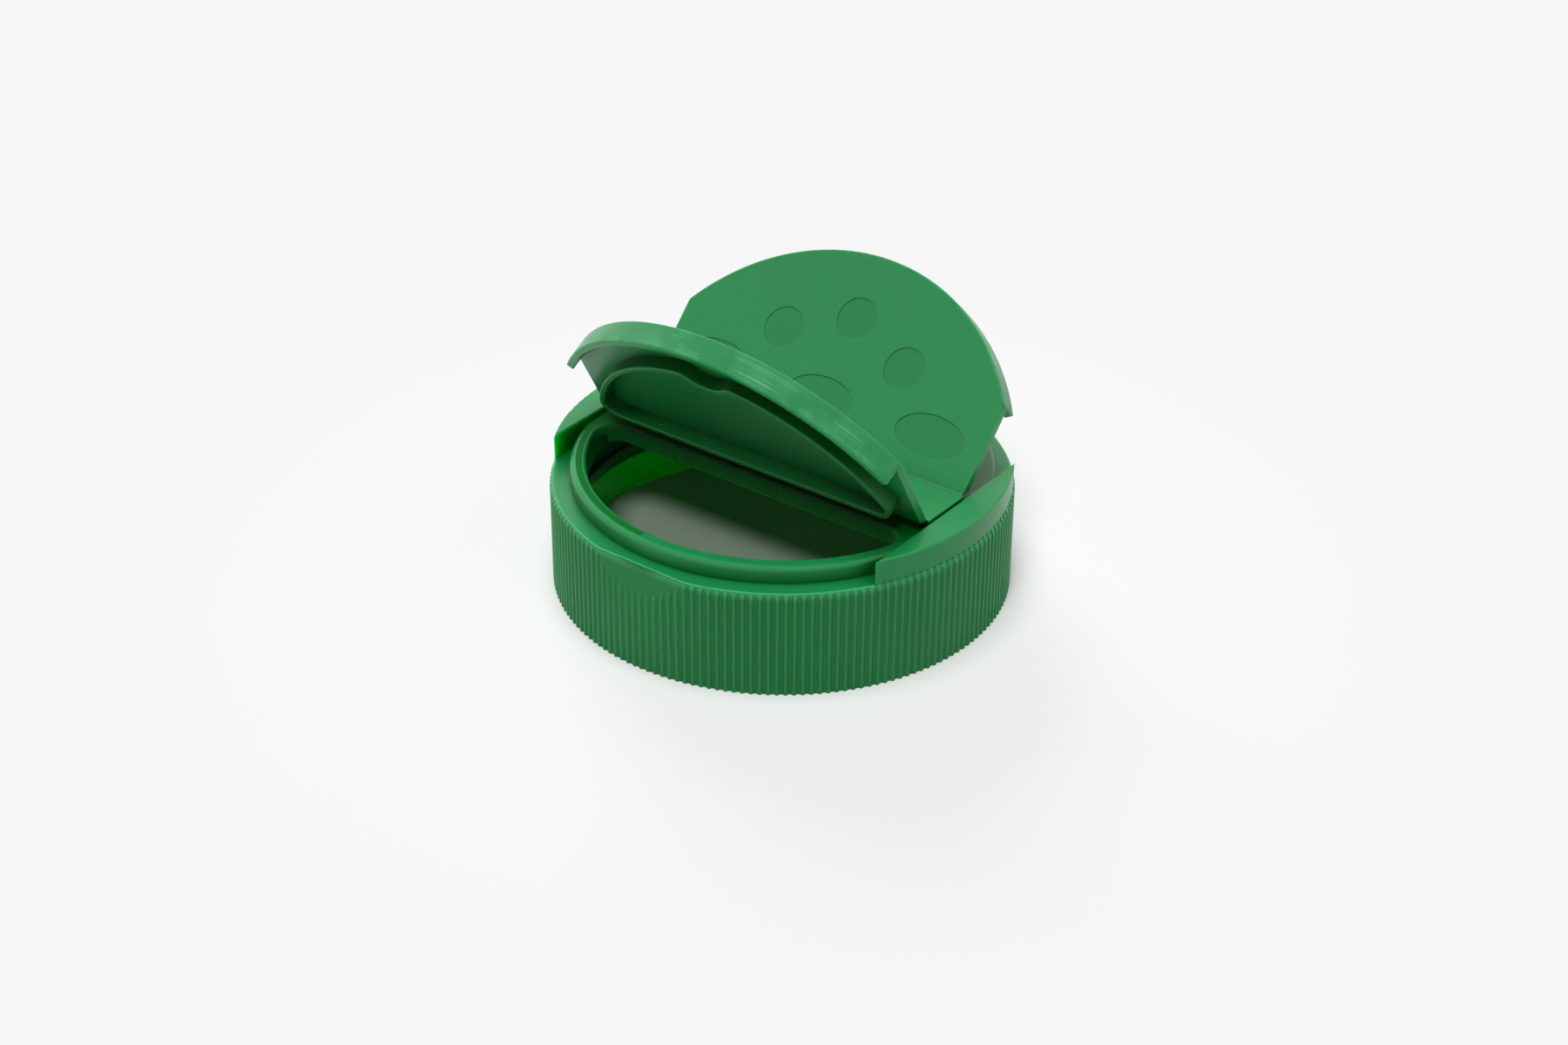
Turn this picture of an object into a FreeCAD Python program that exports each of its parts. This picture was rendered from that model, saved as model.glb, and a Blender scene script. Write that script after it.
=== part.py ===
import FreeCAD, Part

import math
import os

import Sketcher
from FreeCAD import Rotation, Vector

# A dual-flap shaker cap, in millimetres.
#
# The origin is the centre of the open bottom rim, +Z points up through the top, and +X runs
# along both hinges. The pour flap covers the -Y half and the sift flap covers the +Y half.
# Both flaps are drawn at the angles at which they stand open.

SIZES = [
    ("grip_radius", 33.25, "outer radius over the grip ribs"),
    ("rib_depth", 0.3, "depth of the grooves between the grip ribs"),
    ("rib_count", 176, "number of grip ribs"),
    ("groove_mouth", 0.8, "width of a grip groove at its mouth"),
    ("groove_floor", 0.46, "width of a grip groove at its floor"),
    ("shoulder_height", 16.1, "height of the shoulder, where the ribs end"),
    ("shoulder_bevel", 0.35, "bevel on the rib tops at the shoulder, across"),
    ("shoulder_bevel_rise", 0.75, "bevel on the rib tops at the shoulder, along"),
    ("bore_radius", 31.6, "radius of the neck bore at the root of its thread"),
    ("mouth_bevel", 0.5, "bevel at the mouth of the neck bore, across"),
    ("mouth_bevel_rise", 0.8, "bevel at the mouth of the neck bore, along"),
    ("land_height", 14.6, "height of the land that seals on the jar's rim"),
    ("deck_radius", 30.3, "outer radius of the raised deck"),
    ("deck_height", 18.65, "height of the raised deck's top"),
    ("deck_wall", 1.3, "thickness of the raised deck"),
    ("deck_edge", 0.8, "rounding of the raised deck's outer edge"),
    ("rim_wall", 2.3, "wall from the deck's outer side to the openings' arc"),
    ("opening_edge", 0.55, "rounding of the pour opening's top edge"),
    ("opening_straight", 6.75, "distance of the pour opening's straight side from the axis"),
    ("opening_corner", 3.2, "corner radius of the pour opening"),
    ("curb_wall", 1.2, "thickness of the curb under the pour opening's edge"),
    ("curb_foot", 16.0, "height of the curb's lower edge"),
    ("ear_inside", 28.27, "distance of the ears' inner faces from the axis"),
    ("ear_radius", 33.0, "outer radius of the ears"),
    ("ear_height", 19.8, "height of the ears' tops"),
    ("ear_edge", 0.3, "rounding of the ears' top edges"),
    ("bar_height", 20.1, "height of the hinge bar's top"),
    ("bar_gap", 0.1, "gap between the hinge bar's ends and the ears"),
    ("bar_core_half", 2.6, "half width of the core under the hinge bar"),
    ("bar_core_length", 48.0, "length of the core under the hinge bar"),
    ("bar_skin", 1.4, "thickness over the core of the hinge bar"),
    ("facet_chord", 32.1, "distance of the thumb flats from the axis at the shoulder"),
    ("facet_foot", 11.3, "height of the thumb flats' lowest point"),
    ("hinge_offset", 4.45, "distance of each hinge line from the axis"),
    ("web_thickness", 0.4, "thickness of the hinge webs"),
    ("web_half", 0.25, "half width of the hinge webs"),
    ("web_length", 55.0, "length of the hinge webs"),
    ("flap_wall", 1.3, "thickness of the flaps"),
    ("flap_radius", 33.35, "outer radius of the closed flaps"),
    ("flap_half", 27.9, "half width of the flaps at their straight sides"),
    ("flap_edge", 0.3, "rounding of the flaps' outer top edge"),
    ("lip_wall", 1.2, "thickness of the lip round each flap"),
    ("lip_gap", 0.15, "gap between a closed lip and the shoulder"),
    ("lip_edge", 0.3, "rounding of the lips' lower edges"),
    ("plug_gap", 0.5, "gap between the plug ring and the pour opening"),
    ("plug_depth", 3.5, "depth of the plug ring below the flap's top"),
    ("plug_wall", 0.9, "wall of the plug ring"),
    ("plug_edge", 0.25, "rounding of the plug ring's rim"),
    ("dent_depth", 1.85, "depth of the finger dent in the plug ring"),
    ("dent_radius", 5.2, "radius of the finger dent in the plug ring"),
    ("dent_blend", 2.2, "rounding where the plug ring bends into its dent"),
    ("peg_radius", 2.95, "radius of the round pegs of the sift flap"),
    ("peg_long", 5.45, "half length of the oval pegs of the sift flap"),
    ("peg_short", 2.9, "half width of the oval pegs of the sift flap"),
    ("peg_gap", 0.5, "gap between the pegs and the sift holes"),
    ("peg_length", 2.0, "length of the pegs below the sift flap"),
    ("peg_wall", 0.8, "wall of the hollow pegs"),
    ("mark_grow", 0.22, "how far the marks over the pegs stand outside them"),
    ("mark_depth", 0.15, "depth of the marks over the pegs"),
    ("far_hole_reach", 23.5, "distance of the far round hole from the axis"),
    ("side_hole_reach", 18.8, "distance of the side round holes from the axis"),
    ("side_hole_spread", 10.7, "distance of the side round holes from the middle"),
    ("oval_reach", 10.8, "distance of the oval holes from the axis"),
    ("oval_spread", 19.1, "distance of the outer oval holes from the middle"),
    ("pour_open", 61.3, "degrees from closed at which the pour flap stands"),
    ("sift_open", 45.5, "degrees from closed at which the sift flap stands"),
]

document = FreeCAD.newDocument("shaker_cap")
sizes = document.addObject("Spreadsheet::Sheet", "sizes")
for row, (alias, value, meaning) in enumerate(SIZES, start=1):
    sizes.set(f"A{row}", meaning)
    sizes.set(f"B{row}", str(value))
    sizes.setAlias(f"B{row}", alias)
document.recompute()

# Sizes that follow from the ones above

OPENING_RADIUS = "(sizes.deck_radius - sizes.rim_wall)"
DECK_UNDERSIDE = "(sizes.deck_height - sizes.deck_wall)"
PIVOT_HEIGHT = "(sizes.bar_height - sizes.web_thickness / 2)"
BAR_HALF = "(sizes.hinge_offset - sizes.web_half)"
BAR_TAPER = "(sizes.bar_height - sizes.web_thickness - sizes.deck_height)"
LIP_DEPTH = "(sizes.bar_height - sizes.shoulder_height - sizes.lip_gap)"
FLAP_TOP = "(sizes.web_thickness / 2)"
FLAP_UNDERSIDE = "(sizes.web_thickness / 2 - sizes.flap_wall)"
PLUG_RADIUS = f"({OPENING_RADIUS} - sizes.plug_gap)"
PLUG_STRAIGHT = "(sizes.opening_straight + sizes.plug_gap)"
PLUG_CORNER = "(sizes.opening_corner - sizes.plug_gap)"
DENT_CENTRE = f"({PLUG_RADIUS} - sizes.dent_depth + sizes.dent_radius)"

# Each shaker hole: its distance from the middle along the hinge, its distance from the cap's
# axis towards the sift side, and whether it is oval
SIFT_HOLES = [
    ("0", "sizes.far_hole_reach", False),
    ("sizes.side_hole_spread", "sizes.side_hole_reach", False),
    ("-sizes.side_hole_spread", "sizes.side_hole_reach", False),
    ("0", "sizes.oval_reach", True),
    ("sizes.oval_spread", "sizes.oval_reach", True),
    ("-sizes.oval_spread", "sizes.oval_reach", True),
]


def amount(expression):
    """The number that an expression on the sheet stands for."""
    return float(sizes.evalExpression(expression))


class Outline:
    """A sketch in a body, every size of which is bound to the sheet."""

    START, END, CENTRE = 1, 2, 3
    ORIGIN, ACROSS, UP = (-1, 1), -1, -2

    def __init__(self, body, name, role, height="0"):
        self.sketch = body.newObject("Sketcher::SketchObject", name)
        plane = next(part for part in body.Origin.OriginFeatures if part.Role == role)
        self.sketch.AttachmentSupport = [(plane, "")]
        self.sketch.MapMode = "FlatFace"
        self.sketch.setExpression("AttachmentOffset.Base.z", height)

    def rule(self, kind, *places):
        return self.sketch.addConstraint(Sketcher.Constraint(kind, *places))

    def size(self, kind, *places_and_value):
        """Add a sized constraint, whose last argument is an expression on the sheet."""
        *places, expression = places_and_value
        index = self.rule(kind, *places, amount(expression))
        self.sketch.setExpression(f"Constraints[{index}]", expression)

    def place(self, curve, point, across, up):
        """Hold a point of a curve at expressions measured from the sketch's origin."""
        for kind, expression, axis in (
            ("DistanceX", across, self.UP),
            ("DistanceY", up, self.ACROSS),
        ):
            if abs(amount(expression)) < 1e-9:
                self.rule("PointOnObject", curve, point, axis)
            else:
                self.size(kind, *self.ORIGIN, curve, point, expression)

    def polygon(self, corners):
        """Add a closed polygon, whose corners are pairs of expressions."""
        spots = [Vector(amount(across), amount(up), 0) for across, up in corners]
        lines = [
            self.sketch.addGeometry(Part.LineSegment(here, there))
            for here, there in zip(spots, spots[1:] + spots[:1])
        ]
        for line, following in zip(lines, lines[1:] + lines[:1]):
            self.rule("Coincident", line, self.END, following, self.START)
        for line, (across, up) in zip(lines, corners):
            self.place(line, self.START, across, up)

    def arc(self, centre, radius, start, end, up):
        """Add an arc about a centre on the sketch's up axis, from one angle to another."""
        circle = Part.Circle(centre, Vector(0, 0, 1), amount(radius))
        curve = self.sketch.addGeometry(Part.ArcOfCircle(circle, start, end))
        self.size("Radius", curve, radius)
        self.place(curve, self.CENTRE, "0", up)
        return curve

    def circle(self, across, up, radius):
        centre = Vector(amount(across), amount(up), 0)
        curve = self.sketch.addGeometry(Part.Circle(centre, Vector(0, 0, 1), amount(radius)))
        self.size("Radius", curve, radius)
        self.place(curve, self.CENTRE, across, up)

    def oval(self, across, up, long_half, short_half):
        """Add an ellipse that is long across the sketch."""
        centre = Vector(amount(across), amount(up), 0)
        tip = centre + Vector(amount(long_half), 0, 0)
        side = centre + Vector(0, amount(short_half), 0)
        curve = self.sketch.addGeometry(Part.Ellipse(tip, side, centre))
        first = len(self.sketch.Geometry)
        self.sketch.exposeInternalGeometry(curve)
        self.place(curve, self.CENTRE, across, up)
        major, minor = first, first + 1
        self.rule("Horizontal", major)
        self.size("Distance", major, f"2 * {long_half}")
        self.size("Distance", minor, f"2 * {short_half}")

    def segment(self, radius, half, up, sense):
        """Add a disc's part beyond a chord at a distance from the axis, on one side in X."""
        reach, chord = amount(radius), amount(half)
        turn = math.acos(chord / reach)
        middle = 0 if sense > 0 else math.pi
        centre = Vector(0, amount(up), 0)
        curve = self.arc(centre, radius, middle - turn, middle + turn, up)
        rise = reach * math.sin(turn)
        low, high = Vector(sense * chord, -rise, 0), Vector(sense * chord, rise, 0)
        line = self.sketch.addGeometry(Part.LineSegment(centre + low, centre + high))
        ends = (self.START, self.END) if sense > 0 else (self.END, self.START)
        self.rule("Coincident", line, self.START, curve, ends[0])
        self.rule("Coincident", line, self.END, curve, ends[1])
        self.rule("Vertical", line)
        signed = half if sense > 0 else f"-{half}"
        self.size("DistanceX", *self.ORIGIN, line, self.START, signed)

    def half_disc(self, radius, straight, corner, up, dent=None):
        """Add a D that is round towards -Y, with an arc about the cap's axis and two corners.

        A dent, if there is one, is a pair of its radius and its centre's distance from the axis,
        and takes a bite out of the middle of the D's arc.
        """
        reach, chord, bend = amount(radius), amount(straight), amount(corner)
        axis = Vector(0, amount(up), 0)
        side = math.sqrt((reach - bend) ** 2 - (chord + bend) ** 2)
        corner_angle = math.atan2(-(chord + bend), side)
        flat = self.sketch.addGeometry(
            Part.LineSegment(axis + Vector(side, -chord, 0), axis + Vector(-side, -chord, 0))
        )
        self.rule("Horizontal", flat)
        self.size("DistanceY", *self.ORIGIN, flat, self.START, f"{up} - {straight}")

        corners = []
        for sense, start, end in (
            (1, corner_angle, math.pi / 2),
            (-1, math.pi / 2, math.pi - corner_angle),
        ):
            centre = axis + Vector(sense * side, -(chord + bend), 0)
            bow = Part.ArcOfCircle(Part.Circle(centre, Vector(0, 0, 1), bend), start, end)
            corners.append(self.sketch.addGeometry(bow))
            self.size("Radius", corners[-1], corner)
        right, left = corners
        self.rule("Tangent", right, self.END, flat, self.START)
        self.rule("Tangent", left, self.START, flat, self.END)

        low, high = -math.pi - corner_angle, corner_angle
        if dent is None:
            bottom = self.arc(axis, radius, low, high, up)
            halves = bottom, bottom
        else:
            bite, centre_reach = dent
            away = amount(centre_reach)
            level = (reach**2 + away**2 - amount(bite) ** 2) / (2 * away)
            half = math.sqrt(reach**2 - level**2)
            notch = math.atan2(-level, half)
            halves = (
                self.arc(axis, radius, low, -math.pi - notch, up),
                self.arc(axis, radius, notch, high, up),
            )
            dent_axis = axis - Vector(0, away, 0)
            lean = math.atan2(away - level, half)
            hollow = self.arc(dent_axis, bite, lean, math.pi - lean, f"{up} - {centre_reach}")
            self.rule("Coincident", hollow, self.START, halves[1], self.START)
            self.rule("Coincident", hollow, self.END, halves[0], self.END)
        self.rule("Tangent", left, self.END, halves[0], self.START)
        self.rule("Tangent", right, self.START, halves[1], self.END)


def volume(body):
    """The volume of a body, which is nothing before its first feature."""
    return 0 if body.Shape.isNull() else body.Shape.Volume


def check_change(body, feature, before, sense):
    """Stop if a feature adds or takes away nothing, or more than its own prism."""
    change = sense * (volume(body) - before)
    if not 0 < change < feature.AddSubShape.Volume + 0.01:
        raise RuntimeError(f"{feature.Label} changes its body by {change:.2f}")


def raised(body, name, outline, length, down=False):
    """Pad an outline, upwards unless it goes down, and check what it adds."""
    before = volume(body)
    pad = body.newObject("PartDesign::Pad", name)
    pad.Profile = outline.sketch
    pad.setExpression("Length", length)
    pad.Reversed = down
    document.recompute()
    check_change(body, pad, before, 1)
    return pad


def cut(body, name, outline, length, upwards=True, both_ways=False):
    """Pocket an outline, and check what it takes away."""
    before = volume(body)
    pocket = body.newObject("PartDesign::Pocket", name)
    pocket.Profile = outline.sketch
    pocket.setExpression("Length", length)
    if both_ways:
        pocket.Midplane = True
    else:
        pocket.Reversed = upwards
    document.recompute()
    check_change(body, pocket, before, -1)
    return pocket


def pattern(body, kind, name, original, **settings):
    """Repeat a feature, and make the repeat the tip of its body."""
    repeat = body.newObject(kind, name)
    repeat.Originals = [original]
    for setting, value in settings.items():
        setattr(repeat, setting, value)
    body.Tip = repeat
    return repeat


def origin_part(body, role):
    return next(part for part in body.Origin.OriginFeatures if part.Role == role)


def round_edges(body, name, radius, wanted):
    """Round the edges of a body's last feature that a test picks."""
    last = body.Tip
    edges = [
        f"Edge{index}" for index, edge in enumerate(last.Shape.Edges, start=1) if wanted(edge)
    ]
    if not edges:
        raise RuntimeError(f"{name} finds no edge")
    fillet = body.newObject("PartDesign::Fillet", name)
    fillet.Base = (last, edges)
    fillet.setExpression("Radius", radius)
    document.recompute()
    return fillet


def all_at_height(edge, height):
    """Does an edge lie level at this height?"""
    box = edge.BoundBox
    return abs(box.ZMin - height) < 1e-4 and abs(box.ZMax - height) < 1e-4


def new_body(label):
    body = document.addObject("PartDesign::Body", label)
    body.Label = label
    return body


def shell(body):
    """The skirt, the shoulder and the raised deck, turned from one section."""
    section = Outline(body, "shell_section", "XZ_Plane")
    section.polygon(
        [
            ("sizes.bore_radius + sizes.mouth_bevel", "0"),
            ("sizes.grip_radius", "0"),
            ("sizes.grip_radius", "sizes.shoulder_height - sizes.shoulder_bevel_rise"),
            ("sizes.grip_radius - sizes.shoulder_bevel", "sizes.shoulder_height"),
            ("sizes.deck_radius", "sizes.shoulder_height"),
            ("sizes.deck_radius", "sizes.deck_height"),
            ("0", "sizes.deck_height"),
            ("0", DECK_UNDERSIDE),
            (OPENING_RADIUS, DECK_UNDERSIDE),
            (OPENING_RADIUS, "sizes.land_height"),
            ("sizes.bore_radius", "sizes.land_height"),
            ("sizes.bore_radius", "sizes.mouth_bevel_rise"),
        ]
    )
    turned = body.newObject("PartDesign::Revolution", "shell")
    turned.Profile = section.sketch
    turned.ReferenceAxis = (section.sketch, ["V_Axis"])
    turned.Angle = 360
    document.recompute()
    deck = amount("sizes.deck_height")
    round_edges(body, "deck_edge", "sizes.deck_edge", lambda edge: all_at_height(edge, deck))


def pour_opening(body):
    """The D-shaped pour opening, its rounded top edge and the curb under its straight side."""
    curb = Outline(body, "curb_outline", "XY_Plane", DECK_UNDERSIDE)
    curb.half_disc(
        OPENING_RADIUS,
        "(sizes.opening_straight - sizes.curb_wall)",
        "(sizes.opening_corner + sizes.curb_wall)",
        "0",
    )
    raised(body, "curb", curb, f"{DECK_UNDERSIDE} - sizes.curb_foot", down=True)
    outline = Outline(body, "opening_outline", "XY_Plane", "sizes.land_height")
    outline.half_disc(OPENING_RADIUS, "sizes.opening_straight", "sizes.opening_corner", "0")
    cut(body, "pour_opening", outline, "sizes.deck_height")
    deck = amount("sizes.deck_height")
    outside = amount("sizes.deck_radius - sizes.deck_edge")

    def on_the_opening(edge):
        far = max(math.hypot(v.X, v.Y) for v in edge.Vertexes)
        return all_at_height(edge, deck) and far < outside - 0.1

    round_edges(body, "opening_edge", "sizes.opening_edge", on_the_opening)


def sift_holes(body):
    """The shaker holes through the deck."""
    holes = Outline(body, "sift_hole_outlines", "XY_Plane", "sizes.land_height")
    for across, up, is_oval in SIFT_HOLES:
        if is_oval:
            long_half = "(sizes.peg_long + sizes.peg_gap)"
            short_half = "(sizes.peg_short + sizes.peg_gap)"
            holes.oval(across, up, long_half, short_half)
        else:
            holes.circle(across, up, "(sizes.peg_radius + sizes.peg_gap)")
    cut(body, "sift_holes", holes, "sizes.deck_height")


def ears(body):
    """The raised segments at both ends of the hinges, flush beside the closed flaps."""
    for name, sense in (("right_ear", 1), ("left_ear", -1)):
        outline = Outline(body, f"{name}_outline", "XY_Plane", "sizes.land_height")
        outline.segment("sizes.ear_radius", "sizes.ear_inside", "0", sense)
        raised(body, name, outline, "sizes.ear_height - sizes.land_height")
    top = amount("sizes.ear_height")
    round_edges(body, "ear_edges", "sizes.ear_edge", lambda edge: all_at_height(edge, top))


def hinge_bar(body):
    """The bar between the hinges, thinned at its edges and cored from below."""
    foot = "sizes.deck_height - sizes.deck_wall / 2"
    section = Outline(body, "bar_section", "YZ_Plane")
    section.polygon(
        [
            (f"-{BAR_HALF}", "sizes.bar_height"),
            (f"-{BAR_HALF}", "sizes.bar_height - sizes.web_thickness"),
            (f"{BAR_TAPER} - {BAR_HALF}", "sizes.deck_height"),
            (f"{BAR_TAPER} - {BAR_HALF}", foot),
            (f"{BAR_HALF} - {BAR_TAPER}", foot),
            (f"{BAR_HALF} - {BAR_TAPER}", "sizes.deck_height"),
            (f"{BAR_HALF}", "sizes.bar_height - sizes.web_thickness"),
            (f"{BAR_HALF}", "sizes.bar_height"),
        ]
    )
    bar = raised(body, "hinge_bar", section, "2 * (sizes.ear_inside - sizes.bar_gap)")
    bar.Midplane = True
    core = Outline(body, "bar_core_outline", "XY_Plane", "sizes.land_height")
    half_length = "(sizes.bar_core_length / 2)"
    core.polygon(
        [
            (f"-{half_length}", "-sizes.bar_core_half"),
            (half_length, "-sizes.bar_core_half"),
            (half_length, "sizes.bar_core_half"),
            (f"-{half_length}", "sizes.bar_core_half"),
        ]
    )
    cut(body, "bar_core", core, "sizes.bar_height - sizes.bar_skin - sizes.land_height")


def thumb_flats(body):
    """The sloping flats under the middle of each flap's lip."""
    beyond = "sizes.rib_depth"
    rise = "(sizes.shoulder_height - sizes.facet_foot)"
    slope = f"{rise} / (sizes.grip_radius - sizes.facet_chord)"
    section = Outline(body, "thumb_flat_section", "YZ_Plane")
    section.polygon(
        [
            ("-sizes.facet_chord", "sizes.shoulder_height"),
            (f"-sizes.grip_radius - {beyond}", f"sizes.facet_foot - {beyond} * {slope}"),
            (f"-sizes.grip_radius - {beyond}", f"sizes.shoulder_height + {beyond}"),
            ("-sizes.facet_chord", f"sizes.shoulder_height + {beyond}"),
        ]
    )
    flat = cut(body, "thumb_flat", section, "sizes.ear_inside", both_ways=True)
    plane = (origin_part(body, "XZ_Plane"), [""])
    pattern(body, "PartDesign::Mirrored", "thumb_flats", flat, MirrorPlane=plane)
    document.recompute()


def grip_ribs(body):
    """The grip ribs, left standing between fine grooves all round the skirt."""
    beyond = "sizes.rib_depth"
    root = "sizes.grip_radius - sizes.rib_depth"
    mouth = "(sizes.groove_mouth - sizes.groove_floor / 2)"
    groove = Outline(body, "groove_outline", "XY_Plane")
    groove.polygon(
        [
            (root, "-sizes.groove_floor / 2"),
            (f"sizes.grip_radius + {beyond}", f"-{mouth}"),
            (f"sizes.grip_radius + {beyond}", mouth),
            (root, "sizes.groove_floor / 2"),
        ]
    )
    first = cut(body, "grip_groove", groove, "sizes.shoulder_height")
    repeat = pattern(
        body,
        "PartDesign::PolarPattern",
        "grip_grooves",
        first,
        Axis=(origin_part(body, "Z_Axis"), [""]),
        Angle=360,
    )
    repeat.setExpression("Occurrences", "sizes.rib_count")
    document.recompute()


def cap_body():
    body = new_body("cap_body")
    shell(body)
    pour_opening(body)
    sift_holes(body)
    ears(body)
    hinge_bar(body)
    thumb_flats(body)
    grip_ribs(body)
    return body


def flap(label):
    """A flap in the frame of its hinge: X along the hinge, -Y towards the lip, Z up when shut."""
    body = new_body(label)
    axis = "sizes.hinge_offset"
    plate = Outline(body, f"{label}_plate_outline", "XY_Plane", FLAP_TOP)
    reach, half = amount("sizes.flap_radius"), amount("sizes.flap_half")
    root = amount("sizes.web_half")
    centre = Vector(0, amount(axis), 0)
    turn = math.acos(half / reach)
    rim = plate.arc(centre, "sizes.flap_radius", turn - math.pi, -turn, axis)
    tip = centre.y - reach * math.sin(turn)
    corners = [
        Vector(half, tip, 0),
        Vector(half, -root, 0),
        Vector(-half, -root, 0),
        Vector(-half, tip, 0),
    ]
    right, back, left = (
        plate.sketch.addGeometry(Part.LineSegment(here, there))
        for here, there in zip(corners, corners[1:])
    )
    plate.rule("Coincident", rim, plate.END, right, plate.START)
    plate.rule("Coincident", right, plate.END, back, plate.START)
    plate.rule("Coincident", back, plate.END, left, plate.START)
    plate.rule("Coincident", left, plate.END, rim, plate.START)
    plate.rule("Vertical", right)
    plate.rule("Vertical", left)
    plate.place(right, plate.END, "sizes.flap_half", "-sizes.web_half")
    plate.place(left, plate.START, "-sizes.flap_half", "-sizes.web_half")
    raised(body, f"{label}_plate", plate, "sizes.flap_wall", down=True)

    root_taper(body, label)
    lip(body, label, turn)
    top = amount(FLAP_TOP)
    round_edges(
        body,
        f"{label}_edge",
        "sizes.flap_edge",
        lambda edge: all_at_height(edge, top) and edge.BoundBox.YMax < tip + 1e-3,
    )
    return body


def root_taper(body, label):
    """Thin the flap's underside down to its hinge web."""
    section = Outline(body, f"{label}_taper_section", "YZ_Plane")
    rise = "(sizes.flap_wall - sizes.web_thickness)"
    section.polygon(
        [
            ("-sizes.web_half", "-sizes.web_thickness / 2"),
            (f"-sizes.web_half - {rise}", FLAP_UNDERSIDE),
            ("-sizes.web_half", FLAP_UNDERSIDE),
        ]
    )
    cut(body, f"{label}_taper", section, "2 * sizes.flap_half", both_ways=True)


def lip(body, label, turn):
    """The lip that hangs from the flap's arc and ends square at the flap's corners."""
    axis = "sizes.hinge_offset"
    centre = Vector(0, amount(axis), 0)
    inner_radius = "sizes.flap_radius - sizes.lip_wall"
    outline = Outline(body, f"{label}_lip_outline", "XY_Plane", FLAP_UNDERSIDE)
    outer = outline.arc(centre, "sizes.flap_radius", turn - math.pi, -turn, axis)
    inner = outline.arc(centre, inner_radius, turn - math.pi, -turn, axis)
    for angle, ends, across in (
        (turn - math.pi, outline.START, "-sizes.flap_half"),
        (-turn, outline.END, "sizes.flap_half"),
    ):
        ray = Vector(math.cos(angle), math.sin(angle), 0)
        near, far = centre + ray * amount(inner_radius), centre + ray * amount("sizes.flap_radius")
        end = outline.sketch.addGeometry(Part.LineSegment(near, far))
        outline.rule("Coincident", end, outline.START, inner, ends)
        outline.rule("Coincident", end, outline.END, outer, ends)
        outline.rule("PointOnObject", outer, outline.CENTRE, end)
        outline.size("DistanceX", *outline.ORIGIN, end, outline.END, across)
    raised(body, f"{label}_lip", outline, f"{LIP_DEPTH} - sizes.flap_wall", down=True)
    foot = amount(f"{FLAP_TOP} - {LIP_DEPTH}")
    round_edges(
        body, f"{label}_lip_edge", "sizes.lip_edge", lambda edge: all_at_height(edge, foot)
    )


def place_flap(body, angle, turned_round):
    """Stand a flap open on its hinge line, on the +Y side if it is turned round."""
    side = Rotation(Vector(0, 0, 1), 180 if turned_round else 0)
    swing = Rotation(Vector(-1, 0, 0), amount(angle))
    offset = amount("sizes.hinge_offset") * (1 if turned_round else -1)
    spot = Vector(0, offset, amount(PIVOT_HEIGHT))
    body.Placement = FreeCAD.Placement(spot, side.multiply(swing))


def pour_flap():
    """The flap with the D-shaped plug ring."""
    body = flap("pour_flap")
    axis = "sizes.hinge_offset"
    ring = Outline(body, "plug_outline", "XY_Plane", FLAP_UNDERSIDE)
    ring.half_disc(
        PLUG_RADIUS, PLUG_STRAIGHT, PLUG_CORNER, axis, dent=("sizes.dent_radius", DENT_CENTRE)
    )
    length = "sizes.plug_depth - sizes.flap_wall"
    raised(body, "plug", ring, length, down=True)
    inside = Outline(body, "plug_inside_outline", "XY_Plane", f"{FLAP_TOP} - sizes.plug_depth")
    inside.half_disc(
        f"({PLUG_RADIUS} - sizes.plug_wall)",
        f"({PLUG_STRAIGHT} + sizes.plug_wall)",
        f"({PLUG_CORNER} - sizes.plug_wall)",
        axis,
        dent=("(sizes.dent_radius + sizes.plug_wall)", DENT_CENTRE),
    )
    cut(body, "plug_inside", inside, length)

    def at_the_dent(radius):
        """A test for the ring's upright edges, this far from the cap's axis, beside the dent."""
        wanted, centre = amount(radius), amount(axis)

        def test(edge):
            box = edge.BoundBox
            upright = max(box.XLength, box.YLength) < 1e-4 and abs(box.XMin) < amount(PLUG_RADIUS) / 2
            return upright and abs(math.hypot(box.XMin, box.YMin - centre) - wanted) < 1e-3

        return test

    inner_blend = "sizes.dent_blend - sizes.plug_wall"
    round_edges(body, "dent_inside", inner_blend, at_the_dent(f"{PLUG_RADIUS} - sizes.plug_wall"))
    round_edges(body, "dent_outside", "sizes.dent_blend", at_the_dent(PLUG_RADIUS))
    foot = amount(f"{FLAP_TOP} - sizes.plug_depth")
    round_edges(body, "plug_edge", "sizes.plug_edge", lambda edge: all_at_height(edge, foot))
    place_flap(body, "sizes.pour_open", turned_round=False)
    return body


def peg_outlines(body, name, height, grow):
    """The outlines over the shaker holes, on a flap in its hinge's frame."""
    outline = Outline(body, name, "XY_Plane", height)
    for across, up, is_oval in SIFT_HOLES:
        local = f"sizes.hinge_offset - {up}"
        if is_oval:
            outline.oval(across, local, f"(sizes.peg_long + {grow})", f"(sizes.peg_short + {grow})")
        else:
            outline.circle(across, local, f"(sizes.peg_radius + {grow})")
    return outline


def sift_flap():
    """The flap with a hollow peg for each shaker hole and a shallow mark over each peg."""
    body = flap("sift_flap")
    pegs = peg_outlines(body, "peg_outlines", FLAP_UNDERSIDE, "0")
    raised(body, "pegs", pegs, "sizes.peg_length", down=True)
    foot = f"{FLAP_UNDERSIDE} - sizes.peg_length"
    cores = peg_outlines(body, "peg_core_outlines", foot, "(-sizes.peg_wall)")
    cut(body, "peg_cores", cores, "sizes.peg_length")
    marks = peg_outlines(body, "mark_outlines", FLAP_TOP, "sizes.mark_grow")
    cut(body, "marks", marks, "sizes.mark_depth", upwards=False)
    place_flap(body, "sizes.sift_open", turned_round=True)
    return body


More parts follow.
